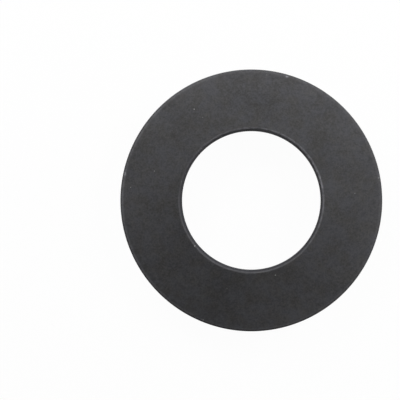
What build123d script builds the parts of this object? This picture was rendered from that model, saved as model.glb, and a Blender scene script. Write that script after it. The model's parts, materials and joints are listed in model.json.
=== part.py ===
from build123d import *
from math import asin, cos, pi, sin, tan
import os

# Conical spring washer, also called a disc spring, for an M12 bolt. All sizes are in millimetres.
# It is one ring of spring steel pressed to a shallow cone. It stands on its wide rim with the
# hollow side down and the bolt's axis along +Z. The origin is on that axis, at the height of the
# surface it stands on.

# Driving sizes
outside_across = 23.0  # widest size across the rim
bore_across = 12.2  # least size across the bore
thickness = 1.25  # of the strip, measured square to its faces
cone_height = 0.60  # the free height less the thickness, which is how far it can be pressed flat

# Rounded edges of the section. The hump side is the top one, the hollow side the lower one.
rim_edge_radius = 0.18  # at the rim, on the hump side
seat_edge_radius = 0.35  # at the rim, on the hollow side, which bears on the joint
crown_edge_radius = 0.18  # at the bore, on the hump side, which bears on the bolt head
foot_edge_radius = 0.18  # at the bore, on the hollow side

bore_land = 0.25  # height of the straight wall at the bore's narrow end, which guides the bolt

settling_steps = 12  # far more than the lean needs to settle


def lost_to_rounding(lean):
    """How far a corner draws back, across or in height, for each millimetre of its edge radius."""
    return cos(lean) + sin(lean) - 1


def leaning_section():
    """Find how far the section leans for the washer to have its free height and its width.

    The section is a straight bar with walls square to its faces. Leaning it swings the corners,
    so the lean is worked out again and again from its last value until it settles.

    Returns the lean, the bar's length, and how far up the bar's bore wall the land reaches.
    """
    ring_width = (outside_across - bore_across) / 2
    free_height = cone_height + thickness
    lean = 0.0
    for step in range(settling_steps):
        land_reach = (bore_land + foot_edge_radius * tan(pi / 4 - lean / 2)) * cos(lean)
        sharp_width = ring_width + rim_edge_radius * lost_to_rounding(lean)
        sharp_height = free_height + (crown_edge_radius + seat_edge_radius) * lost_to_rounding(lean)
        bar_length = (sharp_width + (land_reach - thickness) * sin(lean)) / cos(lean)
        lean = asin((sharp_height - thickness * cos(lean)) / bar_length)
    return lean, bar_length, land_reach


def section_plane(lean, bar_length, land_reach):
    """The plane of the section. Its x runs down the hollow side, from the bore out to the rim."""
    return Plane(
        origin=(
            bore_across / 2 - land_reach * sin(lean),
            0,
            bar_length * sin(lean) - seat_edge_radius * lost_to_rounding(lean),
        ),
        x_dir=(cos(lean), 0, -sin(lean)),
        z_dir=(0, -1, 0),
    )


def spring_ring():
    """The rounded section, turned once round the bolt's axis."""
    lean, bar_length, land_reach = leaning_section()
    with BuildPart() as ring:
        with BuildSketch(section_plane(lean, bar_length, land_reach)):
            with BuildLine():
                FilletPolyline(
                    (land_reach * tan(lean), 0),
                    (bar_length, 0),
                    (bar_length, thickness),
                    (0, thickness),
                    (0, land_reach),
                    radius=[foot_edge_radius, seat_edge_radius, rim_edge_radius, crown_edge_radius, 0],
                    close=True,
                )
            make_face()
        revolve(axis=Axis.Z)
    return ring.part


os.makedirs("parts", exist_ok=True)
export_step(spring_ring(), "parts/conical_spring_washer.step")
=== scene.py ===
import bpy
import bmesh
import json
from math import asin, atan2, cos, degrees, hypot, pi, radians, sin, tan
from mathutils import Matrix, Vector


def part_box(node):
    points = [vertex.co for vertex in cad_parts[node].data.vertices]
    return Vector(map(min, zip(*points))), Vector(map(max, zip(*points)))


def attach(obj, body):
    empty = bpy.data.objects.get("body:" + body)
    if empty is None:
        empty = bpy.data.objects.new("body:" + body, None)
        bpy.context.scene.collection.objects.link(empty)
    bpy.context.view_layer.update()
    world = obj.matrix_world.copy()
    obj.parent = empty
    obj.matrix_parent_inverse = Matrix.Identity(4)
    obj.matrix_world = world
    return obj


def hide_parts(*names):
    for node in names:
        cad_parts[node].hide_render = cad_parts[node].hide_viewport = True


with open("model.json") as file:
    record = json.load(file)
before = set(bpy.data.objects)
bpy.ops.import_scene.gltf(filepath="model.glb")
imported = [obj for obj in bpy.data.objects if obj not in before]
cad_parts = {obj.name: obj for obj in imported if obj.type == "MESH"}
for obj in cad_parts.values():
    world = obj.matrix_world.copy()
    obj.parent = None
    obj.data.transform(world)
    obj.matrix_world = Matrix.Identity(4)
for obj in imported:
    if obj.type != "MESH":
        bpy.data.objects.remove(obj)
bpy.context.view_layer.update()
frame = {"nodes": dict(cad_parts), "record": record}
print("frame loaded:", ", ".join(frame["nodes"]))

mm = 0.001  # shapes are worked in millimetres and brought to metres at the end

# what a user may change about the ring, in millimetres
washer = {
    "thickness": 1.25,  # of the strip
    "crownRadius": 0.18,  # rounding at the bore, on top
    "rimRadius": 0.18,  # rounding at the rim, on top
    "seatRadius": 0.35,  # rounding at the rim, which it stands on
    "footRadius": 0.18,  # rounding at the bore, underneath
    "roundSteps": 10,  # steps in each rounding
    "holdGaps": (0.02, 0.06, 0.12, 0.20),  # rings of points this far from the ends of each straight run
    "faceCuts": 9,  # more rings of points across each broad face
    "turnSteps": 720,  # steps in the full turn
    "mergeGap": 0.0005,  # points closer than this become one
}

# the cut walls are painted darker, partly a darker coat and partly painted shade, most of all on the
# rim's rounded upper edge:
# how strong that is on their rounded edges and on the flat wall, and how far below the broad face it
# comes to the edge's strength
cutWallsAndShade = {
    "bore": {"edge": 1.0, "wall": 1.0, "reach": 0.13},
    "rim": {"edge": 0.62, "wall": 0.20, "reach": 0.03},
}

# where the edges are painted lighter, partly rubbed coat and partly painted highlight: inset is how far
# that light line lies from the wall and reach is how far it spreads from there; it is strongest at the
# compass direction, in degrees anticlockwise from +X, fades over the spread to each side, and is weakest
# everywhere else
wearAndHighlight = {
    "crown": {"inset": 0.015, "reach": 0.17, "least": 0.09, "most": 0.90, "compass": 57, "spread": 102},
    "rim": {"inset": 0.23, "reach": 0.10, "least": 0.06, "most": 0.21, "compass": 175, "spread": 75},
    "foot": {"inset": 0.12, "reach": 0.15, "least": 0.10, "most": 0.25, "compass": 250, "spread": 150},
    "seat": {"inset": 0.30, "reach": 0.20, "least": 0.20, "most": 0.40, "compass": 300, "spread": 150},
}

# the upper face is painted paler, partly faint rubbing and partly painted light, more and more from this
# share of the way across to the rim
faceRubAndLight = {"from": 0.45, "least": 0.012, "most": 0.055, "compass": 75, "spread": 150}

# small knocks that dent the edges, each with a painted glint on its flat, with lengths and depths in
# millimetres
knocks = [
    {"edge": "crown", "compass": 12, "length": 0.60, "depth": 0.014},
    {"edge": "crown", "compass": 19, "length": 0.44, "depth": 0.020},
    {"edge": "crown", "compass": 24.5, "length": 0.26, "depth": 0.014},
    {"edge": "crown", "compass": 31.5, "length": 0.24, "depth": 0.016},
    {"edge": "crown", "compass": 38, "length": 0.40, "depth": 0.018},
    {"edge": "crown", "compass": 54, "length": 0.24, "depth": 0.014},
    {"edge": "rim", "compass": 168, "length": 0.30, "depth": 0.020},
    {"edge": "rim", "compass": 74, "length": 0.24, "depth": 0.014},
    {"edge": "seat", "compass": 205, "length": 0.60, "depth": 0.020},
    {"edge": "foot", "compass": 40, "length": 0.35, "depth": 0.018},
]


def mountNamed(name):
    return next(mount for mount in frame["record"]["mounts"] if mount["name"] == name)


def barLayout():
    # the section is a straight bar: the circles that it touches above and below say how it leans
    crownX = mountNamed("crown_rim")["dims"]["r_mm"]
    crownZ = mountNamed("crown_rim")["pos_m"][2] / mm - washer["crownRadius"]
    seatX = mountNamed("seat_rim")["dims"]["r_mm"]
    seatZ = washer["seatRadius"]
    between = hypot(seatX - crownX, crownZ - seatZ)  # from the middle of one rounding to the other
    across = washer["thickness"] - washer["crownRadius"] - washer["seatRadius"]
    skew = asin(across / between)
    lean = atan2(crownZ - seatZ, seatX - crownX) - skew
    down = Vector((cos(lean), 0, -sin(lean)))  # from the bore out to the rim
    up = Vector((sin(lean), 0, cos(lean)))  # from the hollow side to the hump side
    length = between * cos(skew) + washer["crownRadius"] + washer["seatRadius"]
    crown = Vector((crownX, 0, crownZ))
    start = crown - down * washer["crownRadius"] - up * (washer["thickness"] - washer["crownRadius"])
    return lean, start, down, up, length


def holdEnds(run):
    # extra points near both ends of a straight run, so that it shades as straight as it is
    gaps = [gap for gap in washer["holdGaps"] if 2 * gap < run.calc_length()]
    for end in run.verts[:]:
        done = 0
        for gap in gaps:
            end = bmesh.utils.edge_split(run, end, (gap - done) / run.calc_length())[1]
            done = gap


def edgeOf(along, above, length):
    if above > washer["thickness"] / 2:
        return "crown" if along < length / 2 else "rim"
    return "foot" if along < length / 2 else "seat"


def cutAndShadeShare(edge, fromFace):
    # how much of the cut walls' darker coat and painted shade shows, this far below the broad face
    cutAndShade = cutWallsAndShade["rim" if edge in ("rim", "seat") else "bore"]
    deeper = min(1, max(0, fromFace - cutAndShade["reach"]) / washer[edge + "Radius"])
    return min(1, fromFace / cutAndShade["reach"]) * (cutAndShade["edge"] + (cutAndShade["wall"] - cutAndShade["edge"]) * deeper)


def turnBetween(first, second):
    # smallest angle between two compass directions, in degrees
    return abs((first - second + 180) % 360 - 180)


def rubAndHighlightAt(compass, rubAndHighlight):
    # how much rubbed coat and painted highlight there is in this direction
    lobe = max(0, 1 - turnBetween(compass, rubAndHighlight["compass"]) / rubAndHighlight["spread"])
    return rubAndHighlight["least"] + (rubAndHighlight["most"] - rubAndHighlight["least"]) * lobe


def inwardFrom(edge, down, up):
    # the way from an edge into the section
    along = down if edge in ("crown", "foot") else -down
    above = up if edge in ("foot", "seat") else -up
    return (along + above).normalized()


def finishEdges(bm):
    # how much each point takes of the cut walls' darker coat and painted shade, how much rubbed coat and
    # painted highlight it has, and the knocks
    lean, start, down, up, length = barLayout()
    cutWallAndShade = bm.verts.layers.float.new("cutWallAndShade")
    wornEdgeAndHighlight = bm.verts.layers.float.new("wornEdgeAndHighlight")
    for vert in bm.verts:
        fromAxis = hypot(vert.co.x, vert.co.y)
        compass = degrees(atan2(vert.co.y, vert.co.x))
        fromStart = Vector((fromAxis, 0, vert.co.z)) - start
        along, above = fromStart.dot(down), fromStart.dot(up)
        fromWall = min(along, length - along)
        fromFace = min(above, washer["thickness"] - above)
        edge = edgeOf(along, above, length)
        rubAndHighlight = wearAndHighlight[edge]
        # painted shade: darker colour on the cut walls and their rounded edges
        vert[cutWallAndShade] = cutAndShadeShare(edge, fromFace)
        if edge in ("crown", "rim"):
            outward = (along / length - faceRubAndLight["from"]) / (1 - faceRubAndLight["from"])
            # painted light with faint rubbing on the upper face, paler towards the rim
            vert[wornEdgeAndHighlight] = max(0, outward) * rubAndHighlightAt(compass, faceRubAndLight)
        # full over the first half of the reach, then fading to nothing at its end
        onEdge = min(1, 2 - 2 * hypot(fromWall - rubAndHighlight["inset"], fromFace) / rubAndHighlight["reach"])
        if onEdge <= 0:
            continue
        # rubbed coat and painted highlight along this edge
        wornAndLit = rubAndHighlightAt(compass, rubAndHighlight)
        inward = inwardFrom(edge, down, up)
        inward = Vector((inward.x * vert.co.x / fromAxis, inward.x * vert.co.y / fromAxis, inward.z))
        for knock in knocks:
            away = radians(turnBetween(compass, knock["compass"])) * fromAxis
            if knock["edge"] == edge and away < knock["length"] / 2:
                hit = cos(pi * away / knock["length"]) * onEdge
                # painted glint on the knock's flat
                wornAndLit += hit * onEdge
                vert.co += inward * knock["depth"] * hit
        vert[wornEdgeAndHighlight] = min(1, vert[wornEdgeAndHighlight] + wornAndLit * onEdge)


def ringProfile(bm):
    # five corners, then four of them are rounded in the plane of the section
    lean, start, down, up, length = barLayout()
    boreX = mountNamed("bore")["dims"]["r_mm"]
    reach = (boreX - start.x) / sin(lean)  # where the straight land meets the leaning bore wall
    corners = {
        "foot": start + down * (reach * tan(lean)),
        "seat": start + down * length,
        "rim": start + down * length + up * washer["thickness"],
        "crown": start + up * washer["thickness"],
        "land": start + up * reach,
    }
    points = {name: bm.verts.new(place) for name, place in corners.items()}
    bmesh.ops.contextual_create(bm, geom=list(points.values()))
    for name in ("seat", "rim", "crown", "foot"):
        radius = washer[name + "Radius"]
        # the land stands upright, so the foot's corner is wider than the square ones
        setback = radius * tan(pi / 4 - lean / 2) if name == "foot" else radius
        bmesh.ops.bevel(
            bm, geom=[points[name]], offset=setback, offset_type="OFFSET", affect="VERTICES",
            segments=washer["roundSteps"], profile=0.5, material=-1,
        )
    bmesh.ops.delete(bm, geom=bm.faces[:], context="FACES_ONLY")
    for run in bm.edges[:]:
        holdEnds(run)
    broad = [edge for edge in bm.edges if edge.calc_length() > washer["thickness"]]
    bmesh.ops.subdivide_edges(bm, edges=broad, cuts=washer["faceCuts"])


def addPiece(bm, name):
    mesh = bpy.data.meshes.new(name)
    bm.to_mesh(mesh)
    bm.free()
    piece = bpy.data.objects.new(name, mesh)
    bpy.context.collection.objects.link(piece)
    return piece


def makeRing():
    bm = bmesh.new()
    ringProfile(bm)
    bmesh.ops.spin(
        bm, geom=bm.verts[:] + bm.edges[:], cent=(0, 0, 0), axis=(0, 0, 1), angle=2 * pi,
        steps=washer["turnSteps"], use_merge=True, use_duplicate=False,
    )
    bmesh.ops.remove_doubles(bm, verts=bm.verts[:], dist=washer["mergeGap"])
    bmesh.ops.recalc_face_normals(bm, faces=bm.faces[:])
    finishEdges(bm)
    bmesh.ops.scale(bm, vec=(mm, mm, mm), verts=bm.verts[:])
    for face in bm.faces:
        face.smooth = True
    return addPiece(bm, "steelRing")


ring = makeRing()
print("ring turned:", len(ring.data.vertices), "points,", len(ring.data.polygons), "faces")

# phosphate coat on spring steel; tones are linear, sizes are in millimetres
coat = {
    "dark": (0.0360, 0.0361, 0.0368),
    "light": (0.0622, 0.0624, 0.0646),
    "wornAndLit": (0.26, 0.257, 0.278),  # where handling has thinned the coat, and painted highlight on the edges and the upper face
    "cutAndShade": (0.0085, 0.0083, 0.0115),  # on the cut walls of the bore and the rim: a darker coat, partly painted shade
    "warm": (1.026, 1.0, 0.974),
    "cool": (0.987, 0.991, 1.052),
    "grit": (0.22, 0.22, 0.22),  # single light crystals
    # clouds of lighter and darker coat, and how far each moves the tone between dark and light
    "drift": {"size": 4.0, "detail": 2, "share": 1.3},
    "patch": {"size": 1.0, "detail": 1, "share": 0.3},
    "mottle": {"size": 0.34, "detail": 1, "share": 1.1},
    "grain": {"size": 0.15, "detail": 1, "share": 1.75},
    "tintSwing": 3.2,  # how far the patches turn the coat from warm to cool
    "rubAndHighlightSwing": 1.6,  # how far the mottle breaks up the rubbed edges and their painted highlight
    "metallic": 0.0,
    "specular": 0.25,
    "roughness": 0.70,
    "wallRoughness": 0.85,
    "roughSwing": 0.2,  # how far the mottle moves the roughness
    "crystals": {"size": 0.05, "detail": 2, "height": 0.004},
    "grooves": {"size": 0.035, "detail": 2, "height": 0.004},  # turning marks on the cut walls
    "cloudRoughness": 0.6,  # how strong the finer detail of every cloud is
    "gritApart": 0.7,
    "gritRadius": 0.06,
    "gritEmpty": 0.87,  # share of the places for a light crystal that hold none
}


def feed(tree, value, socket):
    # what comes from another node is linked, and a plain number or colour is set
    if isinstance(value, bpy.types.NodeSocket):
        tree.links.new(value, socket)
    else:
        socket.default_value = (*value, 1) if isinstance(value, tuple) else value


def addNode(tree, kind, **inputs):
    made = tree.nodes.new(kind)
    for name, value in inputs.items():
        feed(tree, value, made.inputs[name])
    return made


def addMath(tree, operation, *values):
    made = tree.nodes.new("ShaderNodeMath")
    made.operation = operation
    for socket, value in zip(made.inputs, values):
        feed(tree, value, socket)
    return made.outputs[0]


def addBlend(tree, share, first, second, kind="MIX"):
    # two colours mixed by share: they are inputs 6 and 7 of the node, and output 2 is what it makes
    made = tree.nodes.new("ShaderNodeMix")
    made.data_type = "RGBA"
    made.blend_type = kind
    for place, value in ((0, share), (6, first), (7, second)):
        feed(tree, value, made.inputs[place])
    return made.outputs[2]


def addCloud(tree, place, cloud):
    # noise with blotches of about the cloud's size
    made = addNode(
        tree, "ShaderNodeTexNoise", Vector=place, Scale=1 / (cloud["size"] * mm), Detail=cloud["detail"],
        Roughness=coat["cloudRoughness"],
    )
    return made.outputs["Fac"]


def addSwing(tree, cloud, swing, middle):
    # a value that a cloud moves up and down from its middle
    return addMath(tree, "MULTIPLY_ADD", addMath(tree, "SUBTRACT", cloud, 0.5), swing, middle)


def addPaint(tree, name):
    # a value that the mesh holds at each point
    made = tree.nodes.new("ShaderNodeAttribute")
    made.attribute_name = name
    return made.outputs["Fac"]


def addGrit(tree, place):
    # a few cells hold one light crystal each, a small ball that the surface cuts through
    cells = addNode(tree, "ShaderNodeTexVoronoi", Vector=place, Scale=1 / (coat["gritApart"] * mm))
    near = addMath(tree, "LESS_THAN", cells.outputs["Distance"], coat["gritRadius"] / coat["gritApart"])
    pick = addNode(tree, "ShaderNodeSeparateColor", Color=cells.outputs["Color"])
    filled = addMath(tree, "GREATER_THAN", pick.outputs[0], coat["gritEmpty"])
    return addMath(tree, "MULTIPLY", near, filled)


def addGrooves(tree, place):
    # turning marks: noise that changes only with the distance from the axis and the height
    split = addNode(tree, "ShaderNodeSeparateXYZ", Vector=place)
    across = addMath(tree, "MULTIPLY", split.outputs["X"], split.outputs["X"])
    across = addMath(tree, "MULTIPLY_ADD", split.outputs["Y"], split.outputs["Y"], across)
    across = addMath(tree, "SQRT", across)
    section = addNode(tree, "ShaderNodeCombineXYZ", X=across, Z=split.outputs["Z"])
    return addCloud(tree, section.outputs[0], coat["grooves"])


def makeCoat():
    material = bpy.data.materials.new("phosphateSteel")
    material.use_nodes = True
    tree = material.node_tree
    shader = tree.nodes["Principled BSDF"]
    place = tree.nodes.new("ShaderNodeTexCoord").outputs["Object"]
    clouds = {name: addCloud(tree, place, coat[name]) for name in ("drift", "patch", "mottle", "grain")}
    cutWallAndShade = addPaint(tree, "cutWallAndShade")

    # colour of the coat: every cloud adds its share around the middle tone
    tone = 0.5
    for name, cloud in clouds.items():
        tone = addSwing(tree, cloud, coat[name]["share"], tone)
    colour = addBlend(tree, tone, coat["dark"], coat["light"])
    tint = addSwing(tree, clouds["patch"], coat["tintSwing"], 0.5)
    colour = addBlend(tree, 1, colour, addBlend(tree, tint, coat["warm"], coat["cool"]), "MULTIPLY")
    # darker coat and painted shade on the cut walls
    colour = addBlend(tree, cutWallAndShade, colour, coat["cutAndShade"])
    broken = addSwing(tree, clouds["mottle"], coat["rubAndHighlightSwing"], 1)
    rubbedAndLit = addMath(tree, "MULTIPLY", addPaint(tree, "wornEdgeAndHighlight"), broken)
    # rubbed coat and painted highlight on the edges and the upper face
    colour = addBlend(tree, rubbedAndLit, colour, coat["wornAndLit"])
    colour = addBlend(tree, addGrit(tree, place), colour, coat["grit"])
    feed(tree, colour, shader.inputs["Base Color"])

    shader.inputs["Metallic"].default_value = coat["metallic"]
    shader.inputs["Specular IOR Level"].default_value = coat["specular"]
    step = coat["wallRoughness"] - coat["roughness"]
    rough = addMath(tree, "MULTIPLY_ADD", cutWallAndShade, step, coat["roughness"])
    feed(tree, addSwing(tree, clouds["mottle"], coat["roughSwing"], rough), shader.inputs["Roughness"])

    crystals = addCloud(tree, place, coat["crystals"])
    height = addMath(tree, "MULTIPLY", crystals, coat["crystals"]["height"] * mm)
    grooves = addMath(tree, "MULTIPLY", addGrooves(tree, place), cutWallAndShade)
    height = addMath(tree, "MULTIPLY_ADD", grooves, coat["grooves"]["height"] * mm, height)
    relief = addNode(tree, "ShaderNodeBump", Strength=1, Distance=1, Height=height)
    feed(tree, relief.outputs["Normal"], shader.inputs["Normal"])
    return material


ring.data.materials.append(makeCoat())
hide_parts("conical_spring_washer")
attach(ring, "root")
print("phosphate coat on")

# the white table, which bends up into a round wall; sizes are in metres
table = {
    "radius": 0.60,
    "bendRadius": 0.15,
    "bendSteps": 8,
    "wallTop": 0.42,
    "turnSteps": 64,
    "colour": (0.9, 0.9, 0.9),
    "whiteShare": 0.97,  # of the table's look that is plain white whatever the lamps do
}


def makeTableWhite():
    material = bpy.data.materials.new("whiteTable")
    material.use_nodes = True
    tree = material.node_tree
    tree.nodes.remove(tree.nodes["Principled BSDF"])
    rays = tree.nodes.new("ShaderNodeLightPath").outputs
    seen = addMath(tree, "MAXIMUM", rays["Is Camera Ray"], rays["Is Glossy Ray"])
    seen = addMath(tree, "MAXIMUM", seen, rays["Is Transmission Ray"])
    white = addMath(tree, "MULTIPLY", seen, table["whiteShare"])
    mix = addNode(tree, "ShaderNodeMixShader", Fac=white)
    feed(tree, addNode(tree, "ShaderNodeBsdfDiffuse", Color=table["colour"]).outputs[0], mix.inputs[1])
    feed(tree, addNode(tree, "ShaderNodeEmission", Strength=1).outputs[0], mix.inputs[2])
    feed(tree, mix.outputs[0], tree.nodes["Material Output"].inputs["Surface"])
    return material


def makeTable():
    bm = bmesh.new()
    bmesh.ops.create_circle(bm, cap_ends=True, segments=table["turnSteps"], radius=table["radius"])
    foot = bm.edges[:]
    raised = bmesh.ops.extrude_edge_only(bm, edges=foot)["geom"]
    wallTop = [part for part in raised if isinstance(part, bmesh.types.BMVert)]
    bmesh.ops.translate(bm, vec=(0, 0, table["wallTop"]), verts=wallTop)
    bmesh.ops.bevel(
        bm, geom=foot, offset=table["bendRadius"], offset_type="OFFSET", affect="EDGES",
        segments=table["bendSteps"], profile=0.5, material=-1,
    )
    bmesh.ops.recalc_face_normals(bm, faces=bm.faces[:])
    bmesh.ops.reverse_faces(bm, faces=bm.faces[:])  # the table's upper side is the one that shows
    top = addPiece(bm, "tableTop")
    top.data.materials.append(makeTableWhite())


makeTable()
print("table laid")

# round lamps; compass is degrees anticlockwise from +X, height is degrees above the table
lamps = {
    "leftLamp": {"compass": 120, "height": 18, "away": 0.12, "radius": 0.03, "watts": 0.60},
    "rightLamp": {"compass": 30, "height": 18, "away": 0.12, "radius": 0.03, "watts": 0.63},
}
roomLight = 0.17  # strength of the white light from all round


def hangLamps():
    for name, lamp in lamps.items():
        data = bpy.data.lights.new(name, "POINT")
        data.shadow_soft_size = lamp["radius"]
        data.energy = lamp["watts"]
        turn, rise = radians(lamp["compass"]), radians(lamp["height"])
        hung = bpy.data.objects.new(name, data)
        hung.location = Vector((cos(turn) * cos(rise), sin(turn) * cos(rise), sin(rise))) * lamp["away"]
        bpy.context.collection.objects.link(hung)


def lightRoom():
    room = bpy.data.worlds.new("studioRoom")
    room.use_nodes = True
    sky = room.node_tree.nodes["Background"]
    sky.inputs["Color"].default_value = (1, 1, 1, 1)
    sky.inputs["Strength"].default_value = roomLight
    bpy.context.scene.world = room


hangLamps()
lightRoom()
print("lamps hung")

# camera straight above the washer, which stands right of the middle of the picture
picture = {
    "height": 0.070,  # camera above the washer's middle, in metres
    "nearest": 0.001,  # what it can see, in metres
    "washerShare": 0.6534,  # of the picture's width that the washer takes
    "shiftX": -0.1283,  # of the lens, in widths of the picture
    "shiftY": 0.001,
    "sensor": 36,
}


def setCamera():
    low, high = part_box("conical_spring_washer")
    data = bpy.data.cameras.new("pictureCamera")
    data.sensor_width = picture["sensor"]
    data.lens = picture["sensor"] * picture["height"] * picture["washerShare"] / (high.x - low.x)
    data.shift_x = picture["shiftX"]
    data.shift_y = picture["shiftY"]
    data.clip_start = picture["nearest"]
    camera = bpy.data.objects.new("pictureCamera", data)
    camera.location = (0, 0, picture["height"] + high.z / 2)
    bpy.context.collection.objects.link(camera)
    bpy.context.scene.camera = camera


setCamera()
bpy.context.scene.view_settings.view_transform = "Standard"
print("camera set")
